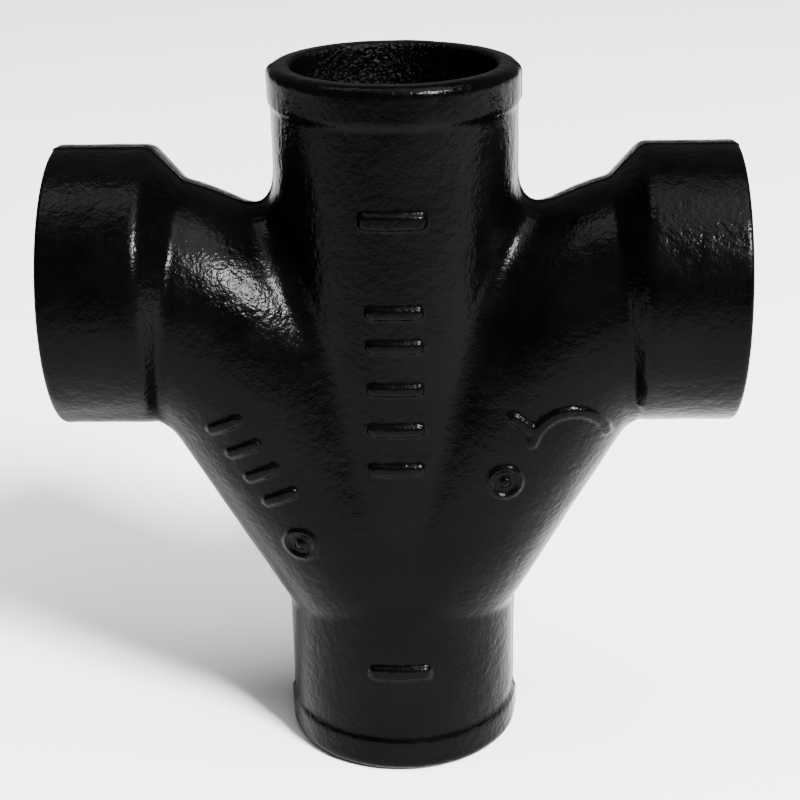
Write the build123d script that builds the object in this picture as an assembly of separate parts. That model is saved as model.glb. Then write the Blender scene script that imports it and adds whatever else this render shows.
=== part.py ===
from build123d import *

import math
import os

# Hubless double-branch drain fitting, 2 inch size: one grey iron sand casting.
# The run stands along +Z with its bottom rim centred on the origin. One branch
# sweeps out to each side along -X and +X, and -Y is the front. Millimetres.
# The casting is drawn in named regions that meet face to face.

# Run: plain beaded ends for shielded couplings
RUN_LENGTH = 180.8
BARREL_RADIUS = 29.85
BEAD_RADIUS = 30.6
BEAD_WIDTH = 9.2
BEAD_SLOPE = 1.6
BORE_RADIUS = 24.9
RIM_OUTER_ROUND = 2.6
RIM_INNER_ROUND = 1.0
SPIGOT_LENGTH = 36.0

# Branches: level inside the hub, then a 60 degree sweep down into the run
BRANCH_HEIGHT = 125.3
ARM_RADIUS = 29.6
ARM_BORE_RADIUS = 24.6
SWEEP_START = 74.6
BRANCH_START = 80.4
SWEEP_RADIUS = 50.1
SWEEP_ANGLE = 60.0
ARM_ROOT = 34.0
CREASE_ROUND = 4.0

# Hubs: tapped 2 inch taper pipe thread, drawn as a plain bore at its mean minor radius
HUB_FACE = 84.1
HUB_RADIUS = 35.2
HUB_EDGE_ROUND = 1.2
HUB_SHOULDER = 62.6
HUB_FOOT = 53.6
HUB_FOOT_RADIUS = 26.4
HUB_INNER_END = 61.0
TAP_DEPTH = 20.0
TAP_SEAT_RADIUS = 32.0
THREAD_MINOR_RADIUS = 28.0
MOUTH_RADIUS = 31.0
MOUTH_BEVEL_DEPTH = 1.65

# Raised gasket stops on the run, front and back
TOP_STOP_FROM_END = 31.4
BOTTOM_STOP_FROM_END = 29.4
STOP_WIDTH = 17.0
STOP_HEIGHT = 4.8
STOP_RELIEF = 1.5

# Raised plain foundry marks on the front: bars, arcs and rings, with no letters
MARK_RELIEF = 0.9
BAR_WIDTH = 2.8
FRONT_BAR_LENGTH = 14.0
FRONT_BAR_HEIGHTS = (127.0, 118.5, 107.5, 97.0, 86.5)
LEFT_BAR_START = (-42.0, 98.0)
LEFT_BAR_STEP = (4.3, -6.4)
LEFT_BAR_COUNT = 4
LEFT_BAR_LENGTH = 10.0
LEFT_BAR_TILT = 27.0
RIGHT_ARC_CENTRE = (42.5, 91.5)
RIGHT_ARC_RADIUS = 9.6
RIGHT_BAR_CENTRE = (30.6, 98.6)
RIGHT_BAR_LENGTH = 8.0
RIGHT_BAR_TILT = -36.0
RING_CENTRES = {"left": (-24.6, 65.5), "right": (26.6, 83.1)}
RING_RADIUS = 4.5
RING_WIDTH = 1.3


def side_name(side):
    return "left" if side < 0 else "right"


def run_outline():
    """Half section of the run's outside: radius and height, from rim to rim."""
    slope_end = BEAD_WIDTH + BEAD_SLOPE
    return [
        (0, 0),
        (BEAD_RADIUS, 0),
        (BEAD_RADIUS, BEAD_WIDTH),
        (BARREL_RADIUS, slope_end),
        (BARREL_RADIUS, RUN_LENGTH - slope_end),
        (BEAD_RADIUS, RUN_LENGTH - BEAD_WIDTH),
        (BEAD_RADIUS, RUN_LENGTH),
        (0, RUN_LENGTH),
    ]


def run_outside():
    """Barrel with a bead at each end and rounded outer rims."""
    with BuildPart() as built:
        with BuildSketch(Plane.XZ):
            with BuildLine():
                Polyline(*run_outline(), close=True)
            make_face()
        revolve(axis=Axis.Z)
    solid = built.part
    rims = [
        edge
        for edge in solid.edges().filter_by(GeomType.CIRCLE)
        if abs(edge.radius - BEAD_RADIUS) < 0.01
        and (edge.center().Z < 0.1 or edge.center().Z > RUN_LENGTH - 0.1)
    ]
    return fillet(rims, RIM_OUTER_ROUND)


def run_inside():
    """Bore with its rounded mouth edges, as a solid to take away."""
    r = BORE_RADIUS
    e = RIM_INNER_ROUND
    with BuildPart() as built:
        with BuildSketch(Plane.XZ):
            with BuildLine():
                Line((0, -1), (r + e, -1))
                Line((r + e, -1), (r + e, 0))
                RadiusArc((r + e, 0), (r, e), e)
                Line((r, e), (r, RUN_LENGTH - e))
                RadiusArc((r, RUN_LENGTH - e), (r + e, RUN_LENGTH), e)
                Line((r + e, RUN_LENGTH), (r + e, RUN_LENGTH + 1))
                Line((r + e, RUN_LENGTH + 1), (0, RUN_LENGTH + 1))
                Line((0, RUN_LENGTH + 1), (0, -1))
            make_face()
        revolve(axis=Axis.Z)
    return built.part


def branch_path(side, start):
    """Centreline of a branch: level run, swept bend, straight down to the run's axis."""
    angle = math.radians(SWEEP_ANGLE)
    drop = SWEEP_RADIUS * (1 - math.cos(angle))
    reach = SWEEP_RADIUS * math.sin(angle)
    bend_end = (SWEEP_START - reach, BRANCH_HEIGHT - drop)
    middle = math.radians(SWEEP_ANGLE / 2)
    bend_middle = (
        SWEEP_START - SWEEP_RADIUS * math.sin(middle),
        BRANCH_HEIGHT - SWEEP_RADIUS * (1 - math.cos(middle)),
    )
    foot_height = bend_end[1] - bend_end[0] * math.tan(angle)

    def at(point):
        return (side * point[0], 0, point[1])

    level = Line(at((start, BRANCH_HEIGHT)), at((SWEEP_START, BRANCH_HEIGHT)))
    bend = ThreePointArc(
        at((SWEEP_START, BRANCH_HEIGHT)), at(bend_middle), at(bend_end)
    )
    straight = Line(at(bend_end), at((0, foot_height)))
    return Wire([level, bend, straight])


def branch_tube(side, radius, start):
    path = branch_path(side, start)
    section = Plane(
        origin=(side * start, 0, BRANCH_HEIGHT), z_dir=(-side, 0, 0)
    ) * Circle(radius)
    return sweep(section, path=path)


def about_branch(side, outline):
    """Turn a closed (distance from the run axis, radius) outline about a branch axis."""
    flat = [(side * along, BRANCH_HEIGHT + radius) for along, radius in outline]
    with BuildPart() as built:
        with BuildSketch(Plane.XZ):
            with BuildLine():
                Polyline(*flat, close=True)
            make_face()
        revolve(axis=Axis((0, 0, BRANCH_HEIGHT), (1, 0, 0)))
    return built.part


def hub_outside(side):
    """Hub barrel with its rounded face edge and a smooth shoulder down to the arm."""
    height = BRANCH_HEIGHT
    middle = ((HUB_SHOULDER + HUB_FOOT) / 2, (HUB_RADIUS + HUB_FOOT_RADIUS) / 2)
    edge = HUB_EDGE_ROUND

    def at(along, radius):
        return (side * along, height + radius)

    def tangent(along, radius):
        return (side * along, radius)

    with BuildPart() as built:
        with BuildSketch(Plane.XZ):
            with BuildLine():
                Line(at(HUB_FACE, 0), at(HUB_FACE, HUB_RADIUS - edge))
                TangentArc(
                    at(HUB_FACE, HUB_RADIUS - edge),
                    at(HUB_FACE - edge, HUB_RADIUS),
                    tangent=(0, 1),
                )
                Line(at(HUB_FACE - edge, HUB_RADIUS), at(HUB_SHOULDER, HUB_RADIUS))
                Spline(
                    at(HUB_SHOULDER, HUB_RADIUS),
                    at(*middle),
                    at(HUB_FOOT, HUB_FOOT_RADIUS),
                    tangents=[tangent(-1, 0), tangent(-1, 0)],
                )
                Line(at(HUB_FOOT, HUB_FOOT_RADIUS), at(HUB_FOOT, 0))
                Line(at(HUB_FOOT, 0), at(HUB_FACE, 0))
            make_face()
        revolve(axis=Axis((0, 0, height), (1, 0, 0)))
    return built.part


def tap_seat(side):
    """Cylinder that the tapped ring fills, opening through the hub face."""
    outline = [
        (HUB_FACE - TAP_DEPTH, 0),
        (HUB_FACE - TAP_DEPTH, TAP_SEAT_RADIUS),
        (HUB_FACE + 1, TAP_SEAT_RADIUS),
        (HUB_FACE + 1, 0),
    ]
    return about_branch(side, outline)


def tapped_ring(side):
    """Band of iron that the pipe thread is cut in, with its bevelled mouth."""
    outline = [
        (HUB_FACE - TAP_DEPTH, TAP_SEAT_RADIUS),
        (HUB_FACE, TAP_SEAT_RADIUS),
        (HUB_FACE, MOUTH_RADIUS),
        (HUB_FACE - MOUTH_BEVEL_DEPTH, THREAD_MINOR_RADIUS),
        (HUB_FACE - TAP_DEPTH, THREAD_MINOR_RADIUS),
    ]
    return about_branch(side, outline)


def casting_outside():
    body = run_outside()
    for side in (-1, 1):
        body += branch_tube(side, ARM_RADIUS, BRANCH_START)
    body = round_creases(body)
    for side in (-1, 1):
        body += hub_outside(side)
    return body


def round_creases(body):
    """Cast fillets where the branches run into the barrel and into each other."""
    inner = ARM_ROOT + 8
    edges = [
        edge
        for edge in body.edges()
        if edge.geom_type not in (GeomType.CIRCLE, GeomType.LINE)
        and abs(edge.center().X) < inner
        and 30 < edge.center().Z < RUN_LENGTH - 20
    ]
    return fillet(edges, CREASE_ROUND)


def passages():
    hollow = run_inside()
    for side in (-1, 1):
        hollow += branch_tube(side, ARM_BORE_RADIUS, BRANCH_START)
        hollow += tap_seat(side)
    return hollow


def slab(low_x, high_x, low_z, high_z):
    """Block between two X planes and two Z planes, wider than the fitting in Y."""
    depth = 4 * HUB_RADIUS
    box = Box(high_x - low_x, depth, high_z - low_z)
    return Pos((low_x + high_x) / 2, 0, (low_z + high_z) / 2) * box


def casting_regions(casting):
    """Cut the casting where its named regions meet."""
    far = HUB_FACE + 5
    top = RUN_LENGTH + 5
    upper = RUN_LENGTH - SPIGOT_LENGTH + 6
    regions = {}
    regions["bottom_spigot"] = casting & slab(-far, far, -5, SPIGOT_LENGTH)
    rest = casting - slab(-far, far, -5, SPIGOT_LENGTH)
    regions["top_spigot"] = rest & slab(-ARM_ROOT, ARM_ROOT, upper, top)
    rest -= slab(-ARM_ROOT, ARM_ROOT, upper, top)
    regions["centre_body"] = rest & slab(-ARM_ROOT, ARM_ROOT, 0, upper)
    for side in (-1, 1):
        name = side_name(side)
        low, high = sorted((side * ARM_ROOT, side * HUB_INNER_END))
        regions[f"{name}_arm"] = rest & slab(low, high, 0, top)
        low, high = sorted((side * HUB_INNER_END, side * far))
        regions[f"{name}_hub"] = rest & slab(low, high, 0, top)
    return regions


def gasket_stop(facing, height):
    """Raised rounded bar that stops a coupling's sleeve, following the barrel."""
    bar = Box(STOP_WIDTH, 20, STOP_HEIGHT)
    bar = fillet(bar.edges().filter_by(Axis.Y), STOP_HEIGHT * 0.3)
    bar = Pos(0, facing * BARREL_RADIUS, height) * bar
    ring = Cylinder(BARREL_RADIUS + STOP_RELIEF, STOP_HEIGHT * 2)
    ring -= Cylinder(BARREL_RADIUS, STOP_HEIGHT * 2)
    return bar & (Pos(0, 0, height) * ring)


def gasket_stops():
    heights = {"top": RUN_LENGTH - TOP_STOP_FROM_END, "bottom": BOTTOM_STOP_FROM_END}
    facings = {"front": -1, "back": 1}
    return {
        f"{end}_{face}_gasket_stop": gasket_stop(facing, height)
        for end, height in heights.items()
        for face, facing in facings.items()
    }


def front_shape(centre, tilt, flat):
    """Place a flat shape in the front view and run it forward as a prism."""
    placed = Plane.XZ * Pos(*centre) * Rot(0, 0, tilt) * flat
    return extrude(placed, amount=2 * HUB_RADIUS)


def front_bar(centre, length, tilt):
    return front_shape(centre, tilt, SlotOverall(length, BAR_WIDTH))


def ring_shape(centre):
    ring = Circle(RING_RADIUS) - Circle(RING_RADIUS - RING_WIDTH)
    return front_shape(centre, 0, ring) + front_shape(centre, 0, Circle(RING_WIDTH))


def half_ring_shape(centre):
    outer = RIGHT_ARC_RADIUS + BAR_WIDTH / 2
    inner = RIGHT_ARC_RADIUS - BAR_WIDTH / 2
    upper = Pos(0, outer / 2 + inner * 0.2) * Rectangle(3 * outer, outer)
    ring = Circle(outer) - Circle(inner)
    return front_shape(centre, 0, ring & upper)


def raised_mark(prism, carrier, outside):
    """Keep the part of a prism that stands on the casting under a swollen carrier."""
    return (prism & carrier) - outside


def foundry_marks(outside):
    barrel = Pos(0, 0, RUN_LENGTH / 2) * Cylinder(BARREL_RADIUS + MARK_RELIEF, RUN_LENGTH)
    left = branch_tube(-1, ARM_RADIUS + MARK_RELIEF, BRANCH_START)
    right = branch_tube(1, ARM_RADIUS + MARK_RELIEF, BRANCH_START)

    column = Part()
    for height in FRONT_BAR_HEIGHTS:
        column += front_bar((0, height), FRONT_BAR_LENGTH, 0)

    tally = Part()
    for index in range(LEFT_BAR_COUNT):
        centre = (
            LEFT_BAR_START[0] + index * LEFT_BAR_STEP[0],
            LEFT_BAR_START[1] + index * LEFT_BAR_STEP[1],
        )
        tally += front_bar(centre, LEFT_BAR_LENGTH, LEFT_BAR_TILT)

    crescent = half_ring_shape(RIGHT_ARC_CENTRE)
    crescent += front_bar(RIGHT_BAR_CENTRE, RIGHT_BAR_LENGTH, RIGHT_BAR_TILT)

    return {
        "front_bar_mark": raised_mark(column, barrel, outside),
        "left_bar_mark": raised_mark(tally, left, outside),
        "right_arc_mark": raised_mark(crescent, right, outside),
        "left_ring_mark": raised_mark(ring_shape(RING_CENTRES["left"]), left, outside),
        "right_ring_mark": raised_mark(ring_shape(RING_CENTRES["right"]), right, outside),
    }


def fitting():
    outside = casting_outside()
    nodes = casting_regions(outside - passages())
    for side in (-1, 1):
        nodes[f"{side_name(side)}_tapped_ring"] = tapped_ring(side)
    nodes.update(gasket_stops())
    nodes.update(foundry_marks(outside))
    return nodes


if __name__ == "__main__":
    os.makedirs("parts", exist_ok=True)
    for name, solid in fitting().items():
        export_step(solid, f"parts/{name}.step")
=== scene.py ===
import math

import bmesh
import bpy
import numpy as np
import openvdb
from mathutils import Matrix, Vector


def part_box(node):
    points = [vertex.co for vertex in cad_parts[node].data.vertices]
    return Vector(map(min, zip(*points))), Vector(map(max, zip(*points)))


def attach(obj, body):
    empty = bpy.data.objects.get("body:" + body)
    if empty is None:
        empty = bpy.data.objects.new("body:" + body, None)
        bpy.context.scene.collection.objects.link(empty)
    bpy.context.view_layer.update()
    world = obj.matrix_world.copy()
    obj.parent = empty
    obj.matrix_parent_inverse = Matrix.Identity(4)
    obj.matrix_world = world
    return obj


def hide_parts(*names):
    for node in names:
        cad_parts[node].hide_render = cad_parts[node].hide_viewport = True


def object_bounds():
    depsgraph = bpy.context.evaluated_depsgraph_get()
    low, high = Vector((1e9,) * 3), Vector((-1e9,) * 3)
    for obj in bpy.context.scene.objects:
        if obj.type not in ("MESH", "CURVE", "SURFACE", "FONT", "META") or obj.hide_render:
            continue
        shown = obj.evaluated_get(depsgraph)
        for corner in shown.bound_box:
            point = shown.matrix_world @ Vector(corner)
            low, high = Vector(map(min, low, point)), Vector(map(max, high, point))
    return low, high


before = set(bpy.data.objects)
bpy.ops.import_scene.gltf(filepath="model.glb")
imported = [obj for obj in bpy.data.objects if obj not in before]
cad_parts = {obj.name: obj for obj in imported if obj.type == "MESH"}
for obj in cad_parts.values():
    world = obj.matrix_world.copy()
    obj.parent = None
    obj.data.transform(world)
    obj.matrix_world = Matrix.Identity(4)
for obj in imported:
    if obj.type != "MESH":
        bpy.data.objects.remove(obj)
cad_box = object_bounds()

MM = 0.001

# ---------------------------------------------------------------- dimensions
# Everything below is in millimetres, and sizes that the frame holds come from its boxes.


def corner_mm(node, which):
    return np.array(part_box(node)[which]) / MM


RUN_LENGTH = corner_mm("top_spigot", 1)[2]
BEAD_RADIUS = corner_mm("top_spigot", 1)[0]
BEAD_HEIGHT = 0.75
BARREL_RADIUS = BEAD_RADIUS - BEAD_HEIGHT
BORE_RADIUS = 24.9
BEAD_WIDTH = 9.4
BEAD_FADE = 1.1
RIM_ROUND = 2.6
RIM_INNER_ROUND = 1.2

HUB_FACE = corner_mm("right_hub", 1)[0]
HUB_RADIUS = corner_mm("right_hub", 1)[1]
BRANCH_HEIGHT = (corner_mm("right_hub", 0)[2] + corner_mm("right_hub", 1)[2]) / 2
HUB_SHOULDER = 60.4
HUB_SHOULDER_ROUND = 4.0
SHOULDER_SLOPE = math.radians(47)
HUB_EDGE_ROUND = 1.3
HUB_MOUTH = 31.0
HUB_MOUTH_ROUND = 0.4
HUB_SEAT_DEPTH = HUB_FACE - corner_mm("right_tapped_ring", 0)[0]
HUB_SKIN_DROP = 0.25
SEAT_ROUND = 0.4

ARM_RADIUS = 29.6
ARM_BORE_RADIUS = 24.6
SWEEP_START = 74.6
SWEEP_RADIUS = 50.1
SWEEP_ANGLE = math.radians(60)

CREASE_ROUND = 6.0
HUB_NECK_ROUND = 3.2
CORE_ROUND = 4.0

LOWER_CUT = corner_mm("bottom_spigot", 1)[2]
UPPER_CUT = corner_mm("top_spigot", 0)[2]
ARM_CUT = corner_mm("right_arm", 0)[0]
HUB_CUT = corner_mm("right_hub", 0)[0]

STOP_LEVELS = (29.4, RUN_LENGTH - 31.4)
STOP_WIDTH = 16.0
STOP_HEIGHT = 3.8
STOP_RELIEF = 1.2
STOP_DRAFT = 0.75
STOP_CORNER = 1.6
MARK_RELIEF = 0.9
MARK_DRAFT = 0.65
RELIEF_FADE = (8, 12)
BAR_WIDTH = 2.8
FRONT_BAR_LENGTH = 14.0
FRONT_BAR_HEIGHTS = (127.0, 118.5, 107.5, 97.0, 86.5)
LEFT_BAR_START = np.array((-42.0, 98.0))
LEFT_BAR_STEP = np.array((4.3, -6.4))
LEFT_BAR_COUNT = 4
LEFT_BAR_LENGTH = 10.0
LEFT_BAR_TILT = 27.0
ARC_CENTRE = (42.5, 91.5)
ARC_RADIUS = 9.6
ARC_FOOT = 2.0
RIGHT_BAR = ((30.6, 98.6), 8.0, -36.0)
LEFT_RING = (-24.6, 65.5)
RIGHT_RING = (26.6, 83.1)
RING_RADIUS = 4.5
RING_WIDTH = 1.3
FLASH_HEIGHT = 0.3
FLASH_WIDTH = 0.7

# Sand-cast lumps: wavelength and height of each layer, and the gain that brings the noise
# to about -1 to 1
CAST_LUMPS = ((26.0, 0.14), (9.0, 0.08), (4.4, 0.035), (2.4, 0.022))
LUMP_GAIN = 1.4

# Meshing grid: cell size, its shift off the planes of symmetry as a share of a cell, and
# how many cells it reaches past a block
CELL = 0.6
CELL_OFFSET = 0.37
MARGIN = 4
FAR_OUTSIDE = 20.0
BOX_LOW = np.array(cad_box[0]) / MM
BOX_HIGH = np.array(cad_box[1]) / MM


# ---------------------------------------------------------------- shape fields
# A field is negative inside the iron and grows by about one per millimetre outside it.


def joined(a, b, facing, rounding):
    """Union of two fields with a cast fillet; facing is the cosine between their normals."""
    half = np.sqrt(np.clip((1 + facing) / 2, 0, 1))
    reach = np.maximum(4 * rounding * (1 - half), 1e-4)
    share = np.clip(0.5 + 0.5 * (b - a) / reach, 0, 1)
    return b + (a - b) * share - reach * share * (1 - share)


def step(value, low, high):
    t = np.clip((value - low) / (high - low), 0, 1)
    return t * t * (3 - 2 * t)


def rounded_corner(across, along, rounding):
    """Distance past two faces that meet in a rounded edge."""
    a = across + rounding
    b = along + rounding
    outside = np.hypot(np.maximum(a, 0), np.maximum(b, 0))
    return outside + np.minimum(np.maximum(a, b), 0) - rounding


def branch_axis(x, z):
    """Nearest point on a branch centreline, as offsets from it in X and Z."""
    turn_x = SWEEP_START
    turn_z = BRANCH_HEIGHT - SWEEP_RADIUS
    dx = x - turn_x
    dz = z - turn_z
    angle = np.arctan2(-dx, dz)
    reach = np.hypot(dx, dz)
    bend_x = dx * (1 - SWEEP_RADIUS / np.maximum(reach, 1e-6))
    bend_z = dz * (1 - SWEEP_RADIUS / np.maximum(reach, 1e-6))

    end_x = turn_x - SWEEP_RADIUS * math.sin(SWEEP_ANGLE)
    end_z = turn_z + SWEEP_RADIUS * math.cos(SWEEP_ANGLE)
    fall_x = -math.cos(SWEEP_ANGLE)
    fall_z = -math.sin(SWEEP_ANGLE)
    along = np.clip((x - end_x) * fall_x + (z - end_z) * fall_z, 0, end_x / -fall_x)
    drop_x = x - end_x - along * fall_x
    drop_z = z - end_z - along * fall_z

    level = x >= turn_x
    bend = (angle >= 0) & (angle <= SWEEP_ANGLE) & ~level
    off_x = np.where(level, 0.0, np.where(bend, bend_x, drop_x))
    off_z = np.where(level, z - BRANCH_HEIGHT, np.where(bend, bend_z, drop_z))
    return off_x, off_z


def bar_distance(x, z, centre, length, tilt):
    """Distance in the front view from a round-ended bar."""
    turn = math.radians(tilt)
    along = (x - centre[0]) * math.cos(turn) + (z - centre[1]) * math.sin(turn)
    across = -(x - centre[0]) * math.sin(turn) + (z - centre[1]) * math.cos(turn)
    half = (length - BAR_WIDTH) / 2
    return np.hypot(np.maximum(np.abs(along) - half, 0), across) - BAR_WIDTH / 2


def ring_distance(x, z, centre):
    reach = np.hypot(x - centre[0], z - centre[1])
    band = np.abs(reach - RING_RADIUS + RING_WIDTH / 2) - RING_WIDTH / 2
    return np.minimum(band, reach - RING_WIDTH)


def arc_distance(x, z, centre):
    """Distance in the front view from a round-ended arch that opens downwards."""
    dx = x - centre[0]
    dz = z - centre[1]
    band = np.abs(np.hypot(dx, dz) - ARC_RADIUS)
    foot = np.hypot(np.abs(dx) - ARC_RADIUS, dz - ARC_FOOT)
    return np.where(dz > ARC_FOOT, band, foot) - BAR_WIDTH / 2


def stop_distance(x, z, height):
    across = np.abs(x) - STOP_WIDTH / 2
    up = np.abs(z - height) - STOP_HEIGHT / 2
    return rounded_corner(across, up, STOP_CORNER)


def raised(distance, relief, draft):
    """Height of a cast pad with soft sloping sides."""
    return relief * (1 - step(distance, -draft, draft * 0.8))


def relief_height(x, y, z):
    """Height that the foundry marks and gasket stops stand proud."""
    front = step(-y, *RELIEF_FADE)
    back = step(y, *RELIEF_FADE)
    marks = ring_distance(x, z, LEFT_RING)
    marks = np.minimum(marks, ring_distance(x, z, RIGHT_RING))
    marks = np.minimum(marks, arc_distance(x, z, ARC_CENTRE))
    marks = np.minimum(marks, bar_distance(x, z, *RIGHT_BAR))
    for height in FRONT_BAR_HEIGHTS:
        marks = np.minimum(marks, bar_distance(x, z, (0, height), FRONT_BAR_LENGTH, 0))
    for index in range(LEFT_BAR_COUNT):
        centre = LEFT_BAR_START + index * LEFT_BAR_STEP
        bar = bar_distance(x, z, centre, LEFT_BAR_LENGTH, LEFT_BAR_TILT)
        marks = np.minimum(marks, bar)
    height = raised(marks, MARK_RELIEF, MARK_DRAFT) * front
    for level in STOP_LEVELS:
        pad = raised(stop_distance(x, z, level), STOP_RELIEF, STOP_DRAFT)
        height = np.maximum(height, pad * (front + back))
    return height


def solid_field(x, y, z):
    """The whole casting: run, two swept branches and two hubs, with its hollow inside."""
    rho = np.hypot(x, y)
    from_end = RUN_LENGTH / 2 - np.abs(z - RUN_LENGTH / 2)
    bead = 1 - step(from_end, BEAD_WIDTH - BEAD_FADE, BEAD_WIDTH + BEAD_FADE)
    wall = BARREL_RADIUS + (BEAD_RADIUS - BARREL_RADIUS) * bead
    outer = rounded_corner(rho - wall, -from_end, RIM_ROUND)
    inner = rho - BORE_RADIUS
    side = np.abs(x)
    unit = np.maximum(rho, 1e-6)

    off_x, off_z = branch_axis(side, z)
    reach = np.sqrt(off_x ** 2 + off_z ** 2 + y ** 2)
    safe = np.maximum(reach, 1e-6)
    facing = (side * off_x + y * y) / (unit * safe)
    outer = joined(outer, reach - ARM_RADIUS, facing, CREASE_ROUND)
    inner = joined(inner, reach - ARM_BORE_RADIUS, facing, CORE_ROUND)

    above = z - BRANCH_HEIGHT
    ring = np.hypot(y, above)
    radius = HUB_RADIUS - HUB_SKIN_DROP
    past_face = rounded_corner(ring - radius, side - HUB_FACE, HUB_EDGE_ROUND)
    slope_out = math.cos(SHOULDER_SLOPE)
    slope_back = math.sin(SHOULDER_SLOPE)
    across = ring - radius
    shoulder = across * slope_out + (HUB_SHOULDER - side) * slope_back
    hub = np.maximum(past_face, -joined(-across, -shoulder, slope_out, HUB_SHOULDER_ROUND))
    turned = step(shoulder - across, -1, 1)
    outward = (y * y + above * off_z) / (np.maximum(ring, 1e-6) * safe)
    facing = (1 - turned * (1 - slope_out)) * outward - turned * slope_back * off_x / safe
    outer = joined(outer, hub, facing, HUB_NECK_ROUND)
    outer = outer - relief_height(x, y, z)
    outer = outer - FLASH_HEIGHT * np.exp(-((y / FLASH_WIDTH) ** 2))

    seat = rounded_corner(ring - HUB_MOUTH, HUB_FACE - HUB_SEAT_DEPTH - side, SEAT_ROUND)
    hollow = rounded_corner(-inner, -from_end, RIM_INNER_ROUND)
    solid = np.maximum(np.maximum(outer, hollow), -seat)
    return rounded_corner(solid, side - HUB_FACE, HUB_MOUTH_ROUND)


# ---------------------------------------------------------------- sand-cast surface


def lattice_gradients(cells, seed):
    """A repeatable random direction at each integer lattice point."""
    key = cells[:, 0] * 73856093 ^ cells[:, 1] * 19349663 ^ cells[:, 2] * 83492791
    key = (key + seed * 2654435761) & 0xFFFFFFFF
    parts = []
    for shift in (0x9E3779B1, 0x85EBCA77, 0xC2B2AE3D):
        mixed = (key * shift) & 0xFFFFFFFF
        mixed ^= mixed >> 15
        mixed = (mixed * 0x27D4EB2F) & 0xFFFFFFFF
        mixed ^= mixed >> 13
        parts.append(mixed / 0x7FFFFFFF - 1)
    return np.stack(parts, axis=1)


def lumps(points, wavelength, seed):
    """Smooth repeatable gradient noise, about -1 to 1."""
    scaled = points / wavelength + 100.5
    base = np.floor(scaled).astype(np.int64)
    part = scaled - base
    ease = part ** 3 * (part * (part * 6 - 15) + 10)
    total = np.zeros(len(points))
    for corner in np.ndindex(2, 2, 2):
        offset = np.array(corner)
        gradient = lattice_gradients(base + offset, seed)
        weight = np.prod(np.where(offset, ease, 1 - ease), axis=1)
        total += weight * np.sum(gradient * (part - offset), axis=1)
    return total * LUMP_GAIN


def cast_roughness(points):
    """How far sand grains and mould wash push the skin in or out."""
    height = np.zeros(len(points))
    for seed, (wavelength, amount) in enumerate(CAST_LUMPS):
        height += amount * lumps(points, wavelength, seed + 11)
    from_face = HUB_FACE - np.abs(points[:, 0])
    return height * step(from_face, 0.1, 2.0)


# ---------------------------------------------------------------- meshes


def field_gradient(points):
    small = 0.05
    slopes = []
    for axis in range(3):
        ahead = points.copy()
        behind = points.copy()
        ahead[:, axis] += small
        behind[:, axis] -= small
        slopes.append(solid_field(*ahead.T) - solid_field(*behind.T))
    return np.stack(slopes, axis=1) / (2 * small)


def unit_rows(rows):
    return rows / np.maximum(np.linalg.norm(rows, axis=1), 1e-9)[:, None]


def corner_normals(points, quads):
    """Vertex normals weighted by the area of the faces around each vertex."""
    corners = points[quads]
    across = np.cross(corners[:, 2] - corners[:, 0], corners[:, 3] - corners[:, 1])
    total = np.zeros_like(points)
    for corner in range(4):
        for axis in range(3):
            total[:, axis] += np.bincount(
                quads[:, corner], across[:, axis], minlength=len(points)
            )
    return unit_rows(total)


def skin_surface(low, high):
    """Points, faces and normals of the casting's surface in one block of space."""
    first = np.floor(np.array(low) / CELL).astype(int) - MARGIN
    last = np.ceil(np.array(high) / CELL).astype(int) + MARGIN
    lines = [np.arange(a, b + 1) * CELL + CELL * CELL_OFFSET for a, b in zip(first, last)]
    field = solid_field(*np.meshgrid(*lines, indexing="ij"))
    volume = openvdb.FloatGrid(background=FAR_OUTSIDE)
    volume.copyFromArray(field.astype(np.float32))
    points, quads = volume.convertToQuads(isovalue=0.0)
    points = points.astype(float) * CELL + np.array([line[0] for line in lines])
    for _ in range(2):
        slope = field_gradient(points)
        steep = np.maximum(np.sum(slope ** 2, axis=1), 0.25)
        move = solid_field(*points.T) / steep
        points -= slope * np.clip(move, -CELL, CELL)[:, None]
    points += unit_rows(field_gradient(points)) * cast_roughness(points)[:, None]
    points = np.clip(points, BOX_LOW, BOX_HIGH)
    quads = quads.astype(np.int64)
    return points, quads, corner_normals(points, quads)


def new_mesh(name, points, quads):
    mesh = bpy.data.meshes.new(name)
    mesh.vertices.add(len(points))
    mesh.vertices.foreach_set("co", (points * MM).astype(np.float32).ravel())
    mesh.loops.add(quads.size)
    mesh.loops.foreach_set("vertex_index", quads.astype(np.int32).ravel())
    mesh.polygons.add(len(quads))
    mesh.polygons.foreach_set("loop_start", np.arange(0, quads.size, 4, dtype=np.int32))
    mesh.update(calc_edges=True)
    return mesh


def cut_and_cap(bm, point, normal):
    """Cut away what lies past a plane and close the cut; capping faces get index 1."""
    geometry = bm.verts[:] + bm.edges[:] + bm.faces[:]
    cut = bmesh.ops.bisect_plane(
        bm,
        geom=geometry,
        dist=1e-7,
        plane_co=Vector(point) * MM,
        plane_no=Vector(normal),
        clear_outer=True,
    )
    edges = [item for item in cut["geom_cut"] if isinstance(item, bmesh.types.BMEdge)]
    if not edges:
        return
    filled = bmesh.ops.triangle_fill(
        bm, edges=edges, use_beauty=False, normal=Vector(normal)
    )
    for face in filled["geom"]:
        if isinstance(face, bmesh.types.BMFace):
            face.material_index = 1
            face.normal_update()
            if face.normal.dot(Vector(normal)) < 0:
                face.normal_flip()


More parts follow.
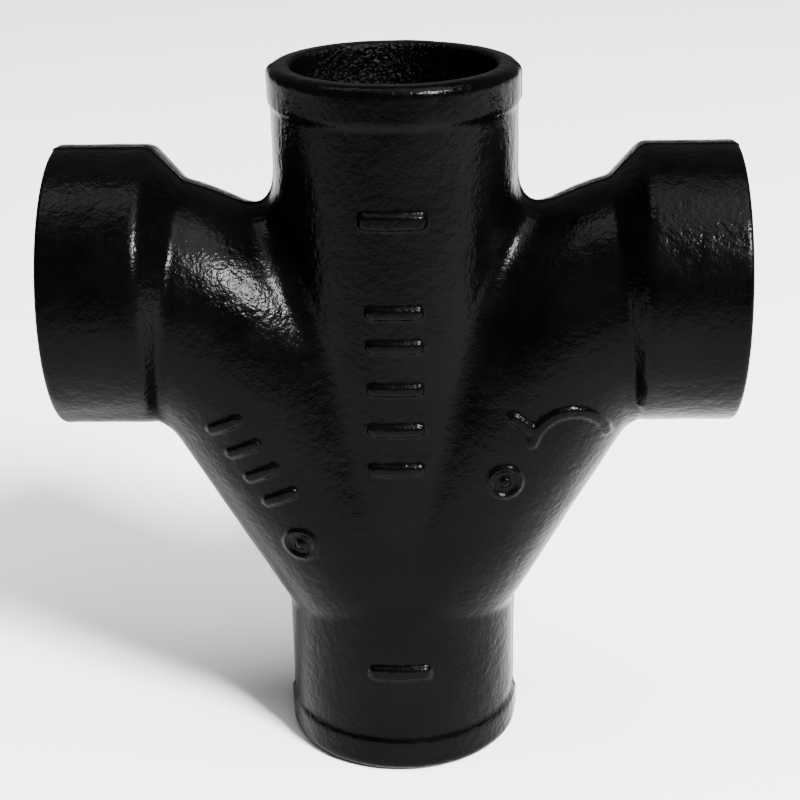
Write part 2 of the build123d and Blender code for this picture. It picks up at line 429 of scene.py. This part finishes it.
def skin_piece(name, low, high, cuts):
    """One closed region of the casting, cut by planes, shaded as the whole skin is."""
    points, quads, normals = skin_surface(low, high)
    mesh = new_mesh(name, points, quads)
    layer = mesh.attributes.new("skin_normal", "FLOAT_VECTOR", "POINT")
    layer.data.foreach_set("vector", normals.astype(np.float32).ravel())
    bm = bmesh.new()
    bm.from_mesh(mesh)
    for point, normal in cuts:
        cut_and_cap(bm, point, normal)
    bm.to_mesh(mesh)
    bm.free()
    shade_as_skin(mesh)
    return place(mesh, name)


def shade_as_skin(mesh):
    count = len(mesh.loops)
    vertex = np.zeros(count, np.int32)
    mesh.loops.foreach_get("vertex_index", vertex)
    normals = np.zeros(len(mesh.vertices) * 3, np.float32)
    mesh.attributes["skin_normal"].data.foreach_get("vector", normals)
    loops = unit_rows(normals.reshape(-1, 3)[vertex].astype(float))
    caps = np.zeros(len(mesh.polygons), np.int32)
    mesh.polygons.foreach_get("material_index", caps)
    sizes = np.zeros(len(mesh.polygons), np.int32)
    mesh.polygons.foreach_get("loop_total", sizes)
    flat = np.zeros(len(mesh.polygons) * 3, np.float32)
    mesh.polygons.foreach_get("normal", flat)
    flat = np.repeat(flat.reshape(-1, 3), sizes, axis=0)
    on_cap = np.repeat(caps, sizes) == 1
    loops[on_cap] = flat[on_cap]
    mesh.polygons.foreach_set("material_index", np.zeros(len(mesh.polygons), np.int32))
    mesh.shade_smooth()
    mesh.normals_split_custom_set(loops.tolist())
    mesh.attributes.remove(mesh.attributes["skin_normal"])


def place(mesh, name):
    piece = bpy.data.objects.new(name, mesh)
    bpy.context.scene.collection.objects.link(piece)
    return piece


# ---------------------------------------------------------------- tapped threads

THREAD_PITCH = 25.4 / 11.5
THREAD_DEPTH = 1.62
THREAD_MINOR = 28.28
THREAD_TAPER = 1 / 32
THREAD_LENGTH = 17.5
THREAD_FADE = 2.6
THREAD_FLAT = 0.08
MOUTH_START = 0.4
MOUTH_SLOPE = 1.25
THREAD_ROWS = 16
THREAD_COLUMNS = 180


def thread_radius(depth, phase):
    """Inside radius of the cut thread: sharp V grooves on a taper, with a bevelled mouth."""
    wave = 1 - np.abs(2 * phase - 1)
    groove = np.clip((wave - THREAD_FLAT) / (1 - 2 * THREAD_FLAT), 0, 1)
    fade = 1 - step(depth, THREAD_LENGTH - THREAD_FADE, THREAD_LENGTH)
    cut = THREAD_MINOR - depth * THREAD_TAPER + THREAD_DEPTH * groove * fade
    mouth = HUB_MOUTH - (depth - MOUTH_START) * MOUTH_SLOPE
    return np.maximum(cut, mouth)


def tapped_ring(name, side):
    """Band of a hub that holds the thread, as one closed ring following its helix."""
    turns = np.arange(THREAD_COLUMNS + 1) / THREAD_COLUMNS
    count = int(math.ceil(HUB_SEAT_DEPTH / THREAD_PITCH) + 1) * THREAD_ROWS
    rows = np.arange(-THREAD_ROWS, count + 1) / THREAD_ROWS
    turn, row = np.meshgrid(turns, rows, indexing="ij")
    depth = np.clip((row + turn) * THREAD_PITCH, MOUTH_START, HUB_SEAT_DEPTH)
    radius = thread_radius(depth, np.mod(row, 1.0))
    inner = ring_points(side, turn, depth, radius)

    ends = np.array((HUB_SEAT_DEPTH, MOUTH_START))
    turn, depth = np.meshgrid(turns, ends, indexing="ij")
    outer = ring_points(side, turn, depth, np.full_like(depth, HUB_MOUTH))

    points = np.concatenate([inner, outer, inner[:, :1]], axis=1)
    columns, lines = points.shape[:2]
    index = np.arange(columns * lines).reshape(columns, lines)
    quads = np.stack(
        [index[:-1, :-1], index[1:, :-1], index[1:, 1:], index[:-1, 1:]], axis=-1
    ).reshape(-1, 4)
    if side < 0:
        quads = quads[:, ::-1]
    mesh = new_mesh(name, points.reshape(-1, 3), quads)
    bm = bmesh.new()
    bm.from_mesh(mesh)
    bmesh.ops.remove_doubles(bm, verts=bm.verts[:], dist=2e-6)
    bmesh.ops.recalc_face_normals(bm, faces=bm.faces[:])
    bm.to_mesh(mesh)
    bm.free()
    mesh.shade_smooth()
    mesh.set_sharp_from_angle(angle=math.radians(35))
    return place(mesh, name)


def ring_points(side, turn, depth, radius):
    """Right-hand helix coordinates about a hub's axis, from its face inwards."""
    angle = 2 * math.pi * turn
    x = side * (HUB_FACE - depth)
    y = side * radius * np.sin(angle)
    z = BRANCH_HEIGHT + radius * np.cos(angle)
    return np.stack([x, y, z], axis=-1)


# ---------------------------------------------------------------- materials


def node_tree(name):
    material = bpy.data.materials.new(name)
    material.use_nodes = True
    tree = material.node_tree
    shader = tree.nodes["Principled BSDF"]
    return material, tree, shader


def noise(tree, scale, detail, roughness=0.5):
    """3-D noise in object space; scale is in cycles per metre."""
    texture = tree.nodes.new("ShaderNodeTexNoise")
    texture.inputs["Scale"].default_value = scale
    texture.inputs["Detail"].default_value = detail
    texture.inputs["Roughness"].default_value = roughness
    where = tree.nodes.new("ShaderNodeTexCoord")
    tree.links.new(where.outputs["Object"], texture.inputs["Vector"])
    return texture.outputs["Fac"]


def remap(tree, value, low, high, out_low, out_high):
    mapping = tree.nodes.new("ShaderNodeMapRange")
    mapping.inputs["From Min"].default_value = low
    mapping.inputs["From Max"].default_value = high
    mapping.inputs["To Min"].default_value = out_low
    mapping.inputs["To Max"].default_value = out_high
    tree.links.new(value, mapping.inputs["Value"])
    return mapping.outputs["Result"]


def bump(tree, height, distance, strength, before=None):
    node = tree.nodes.new("ShaderNodeBump")
    node.inputs["Distance"].default_value = distance
    node.inputs["Strength"].default_value = strength
    tree.links.new(height, node.inputs["Height"])
    if before is not None:
        tree.links.new(before, node.inputs["Normal"])
    return node.outputs["Normal"]


def mixed_colour(tree, share, first, second):
    mix = tree.nodes.new("ShaderNodeMix")
    mix.data_type = "RGBA"
    mix.inputs["A"].default_value = (*first, 1)
    mix.inputs["B"].default_value = (*second, 1)
    tree.links.new(share, mix.inputs["Factor"])
    return mix.outputs["Result"]


def inside_run(tree):
    """One within the run's bore, nought outside it."""
    where = tree.nodes.new("ShaderNodeTexCoord")
    flatten = tree.nodes.new("ShaderNodeVectorMath")
    flatten.operation = "MULTIPLY"
    flatten.inputs[1].default_value = (1, 1, 0)
    tree.links.new(where.outputs["Object"], flatten.inputs[0])
    length = tree.nodes.new("ShaderNodeVectorMath")
    length.operation = "LENGTH"
    tree.links.new(flatten.outputs["Vector"], length.inputs[0])
    near = BORE_RADIUS * MM
    return remap(tree, length.outputs["Value"], near + 0.0006, near + 0.0014, 1.0, 0.0)


def coated_iron():
    """Black asphaltic dip coat, wet-looking, over sand-cast iron."""
    material, tree, shader = node_tree("coated_iron")
    patches = remap(tree, noise(tree, 60, 4), 0.35, 0.65, 0.0, 1.0)
    colour = mixed_colour(tree, patches, (0.0003, 0.0003, 0.0003), (0.0009, 0.00085, 0.0008))
    tree.links.new(colour, shader.inputs["Base Color"])
    rough = remap(tree, noise(tree, 240, 6, 0.6), 0.35, 0.7, 0.15, 0.27)
    tree.links.new(rough, shader.inputs["Roughness"])
    coarse = bump(tree, noise(tree, 300, 3, 0.55), 0.0002, 0.8)
    pimples = bump(tree, noise(tree, 620, 2, 0.5), 0.0002, 0.8, coarse)
    fine = bump(tree, noise(tree, 1500, 2, 0.5), 0.00008, 0.9, pimples)
    grains = bump(tree, noise(tree, 800, 3, 0.6), 0.0009, 1.0, fine)
    sanded = tree.nodes.new("ShaderNodeMix")
    sanded.data_type = "VECTOR"
    tree.links.new(inside_run(tree), sanded.inputs["Factor"])
    tree.links.new(fine, sanded.inputs[4])
    tree.links.new(grains, sanded.inputs[5])
    tree.links.new(sanded.outputs[1], shader.inputs["Normal"])
    shader.inputs["Specular IOR Level"].default_value = 0.033
    return material


def tapped_iron():
    """Machined grey iron under a thin film of black, in lighter and darker patches."""
    material, tree, shader = node_tree("tapped_iron")
    patches = remap(tree, noise(tree, 150, 5), 0.3, 0.7, 0.0, 1.0)
    colour = mixed_colour(tree, patches, (0.006, 0.006, 0.006), (0.018, 0.0175, 0.017))
    tree.links.new(colour, shader.inputs["Base Color"])
    rough = remap(tree, noise(tree, 500, 5), 0.3, 0.7, 0.22, 0.42)
    tree.links.new(rough, shader.inputs["Roughness"])
    tree.links.new(bump(tree, noise(tree, 1800, 3), 0.00003, 0.6), shader.inputs["Normal"])
    shader.inputs["Metallic"].default_value = 0.1
    shader.inputs["Specular IOR Level"].default_value = 0.15
    return material


def pale_floor_and_painted_shade():
    """Pale matt paper with painted shade that takes it to grey well in front of the fitting."""
    material, tree, shader = node_tree("floor")
    where = tree.nodes.new("ShaderNodeTexCoord")
    parts = tree.nodes.new("ShaderNodeSeparateXYZ")
    tree.links.new(where.outputs["Object"], parts.inputs["Vector"])
    # Painted shade: the floor goes grey from 0.26 m to 0.62 m in front of the fitting, which
    # darkens the floor that the casting's lower faces reflect.
    near = remap(tree, parts.outputs["Y"], -0.62, -0.26, 0.0, 1.0)
    tone = remap(tree, noise(tree, 3, 2), 0.3, 0.7, 0.97, 1.0)
    share = tree.nodes.new("ShaderNodeMath")
    share.operation = "MULTIPLY"
    tree.links.new(near, share.inputs[0])
    tree.links.new(tone, share.inputs[1])
    colour = mixed_colour(tree, share.outputs["Value"], (0.3, 0.3, 0.3), (0.92, 0.92, 0.92))
    tree.links.new(colour, shader.inputs["Base Color"])
    shader.inputs["Roughness"].default_value = 0.8
    shader.inputs["Specular IOR Level"].default_value = 0.1
    return material


# ---------------------------------------------------------------- the fitting


def ends(side, near, far):
    return sorted((side * near, side * far))


def build_skin(material):
    """Seven regions of the casting, each standing for its CAD nodes."""
    width = HUB_RADIUS + 1
    top = RUN_LENGTH + 1
    pieces = []
    arm_cuts = [((side * ARM_CUT, 0, 0), (side, 0, 0)) for side in (1, -1)]

    stops = ("front", "back")
    bottom = skin_piece(
        "bottom_spigot_skin",
        (-ARM_CUT, -width, -1),
        (ARM_CUT, width, LOWER_CUT),
        [((0, 0, LOWER_CUT), (0, 0, 1))],
    )
    pieces.append((bottom, ["bottom_spigot"] + [f"bottom_{f}_gasket_stop" for f in stops]))
    spigot = skin_piece(
        "top_spigot_skin",
        (-ARM_CUT, -width, UPPER_CUT),
        (ARM_CUT, width, top),
        [((0, 0, UPPER_CUT), (0, 0, -1)), *arm_cuts],
    )
    pieces.append((spigot, ["top_spigot"] + [f"top_{f}_gasket_stop" for f in stops]))
    centre = skin_piece(
        "centre_body_skin",
        (-ARM_CUT, -width, LOWER_CUT),
        (ARM_CUT, width, UPPER_CUT),
        [((0, 0, LOWER_CUT), (0, 0, -1)), ((0, 0, UPPER_CUT), (0, 0, 1)), *arm_cuts],
    )
    marks = ["front_bar_mark", "left_ring_mark", "right_ring_mark"]
    pieces.append((centre, ["centre_body"] + marks))
    arm_marks = {"left": ["left_bar_mark"], "right": ["right_arc_mark"]}
    for side, name in ((-1, "left"), (1, "right")):
        low, high = ends(side, ARM_CUT, HUB_CUT)
        arm = skin_piece(
            f"{name}_arm_skin",
            (low, -width, LOWER_CUT),
            (high, width, top),
            [
                ((side * ARM_CUT, 0, 0), (-side, 0, 0)),
                ((side * HUB_CUT, 0, 0), (side, 0, 0)),
            ],
        )
        pieces.append((arm, [f"{name}_arm"] + arm_marks[name]))
        low, high = ends(side, HUB_CUT, HUB_FACE + 1)
        hub = skin_piece(
            f"{name}_hub_skin",
            (low, -width, BRANCH_HEIGHT - width - 1),
            (high, width, BRANCH_HEIGHT + width + 1),
            [((side * HUB_CUT, 0, 0), (-side, 0, 0))],
        )
        pieces.append((hub, [f"{name}_hub"]))
    for piece, nodes in pieces:
        piece.data.materials.append(material)
        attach(piece, "root")
        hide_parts(*nodes)


def build_threads(material):
    for side, name in ((-1, "left"), (1, "right")):
        ring = tapped_ring(f"{name}_pipe_thread", side)
        ring.data.materials.append(material)
        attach(ring, "root")
        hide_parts(f"{name}_tapped_ring")


# The floor and the lights are placed in metres.
FLOOR_REACH = 5.0
MIDDLE_HEIGHT = 0.11
LIGHT_DISTANCE = 3.0


def build_floor():
    mesh = bpy.data.meshes.new("floor")
    signs = ((-1, -1), (1, -1), (1, 1), (-1, 1))
    corners = [(x * FLOOR_REACH, y * FLOOR_REACH, 0) for x, y in signs]
    mesh.from_pydata(corners, [], [(0, 1, 2, 3)])
    floor = place(mesh, "floor")
    floor.data.materials.append(pale_floor_and_painted_shade())


def softbox(name, position, target, size, power):
    light = bpy.data.lights.new(name, "AREA")
    light.shape = "RECTANGLE"
    light.size = size[0]
    light.size_y = size[1]
    light.energy = power
    lamp = bpy.data.objects.new(name, light)
    lamp.location = position
    aim = Vector(target) - Vector(position)
    lamp.rotation_euler = aim.to_track_quat("-Z", "Y").to_euler()
    bpy.context.scene.collection.objects.link(lamp)


def towards(azimuth, elevation):
    """A light's place round the fitting's middle; azimuth turns from the front to the right."""
    turn = math.radians(azimuth)
    rise = math.radians(elevation)
    level = LIGHT_DISTANCE * math.cos(rise)
    height = MIDDLE_HEIGHT + LIGHT_DISTANCE * math.sin(rise)
    return (level * math.sin(turn), -level * math.cos(turn), height)


def build_lights():
    centre = (0, 0, MIDDLE_HEIGHT)
    softbox("key", towards(44, 42), centre, (0.62, 0.66), 600)
    softbox("side", towards(48, 66), centre, (2.0, 1.1), 60)
    softbox("rim", towards(-75, 68), centre, (1.6, 1.0), 16)
    softbox("overhead", (0, 0.05, 3.2), centre, (4.5, 1.2), 100)
    world = bpy.data.worlds.new("studio")
    world.use_nodes = True
    world.node_tree.nodes["Background"].inputs["Color"].default_value = (1, 1, 1, 1)
    world.node_tree.nodes["Background"].inputs["Strength"].default_value = 0.22
    bpy.context.scene.world = world


def build_camera():
    """The viewing angle: 22 degrees down on the front, from 0.42 m in front of the run."""
    data = bpy.data.cameras.new("camera")
    data.sensor_width = 36
    data.lens = 79.57
    data.shift_x = -0.0271
    data.shift_y = 0.0161
    data.clip_start = 0.01
    camera = bpy.data.objects.new("camera", data)
    camera.location = (0.0131, -0.4242, 0.2642)
    camera.rotation_euler = [math.radians(angle) for angle in (67.63, 0.64, 0.73)]
    bpy.context.scene.collection.objects.link(camera)
    bpy.context.scene.camera = camera


build_skin(coated_iron())
build_threads(tapped_iron())
build_floor()
build_lights()
build_camera()
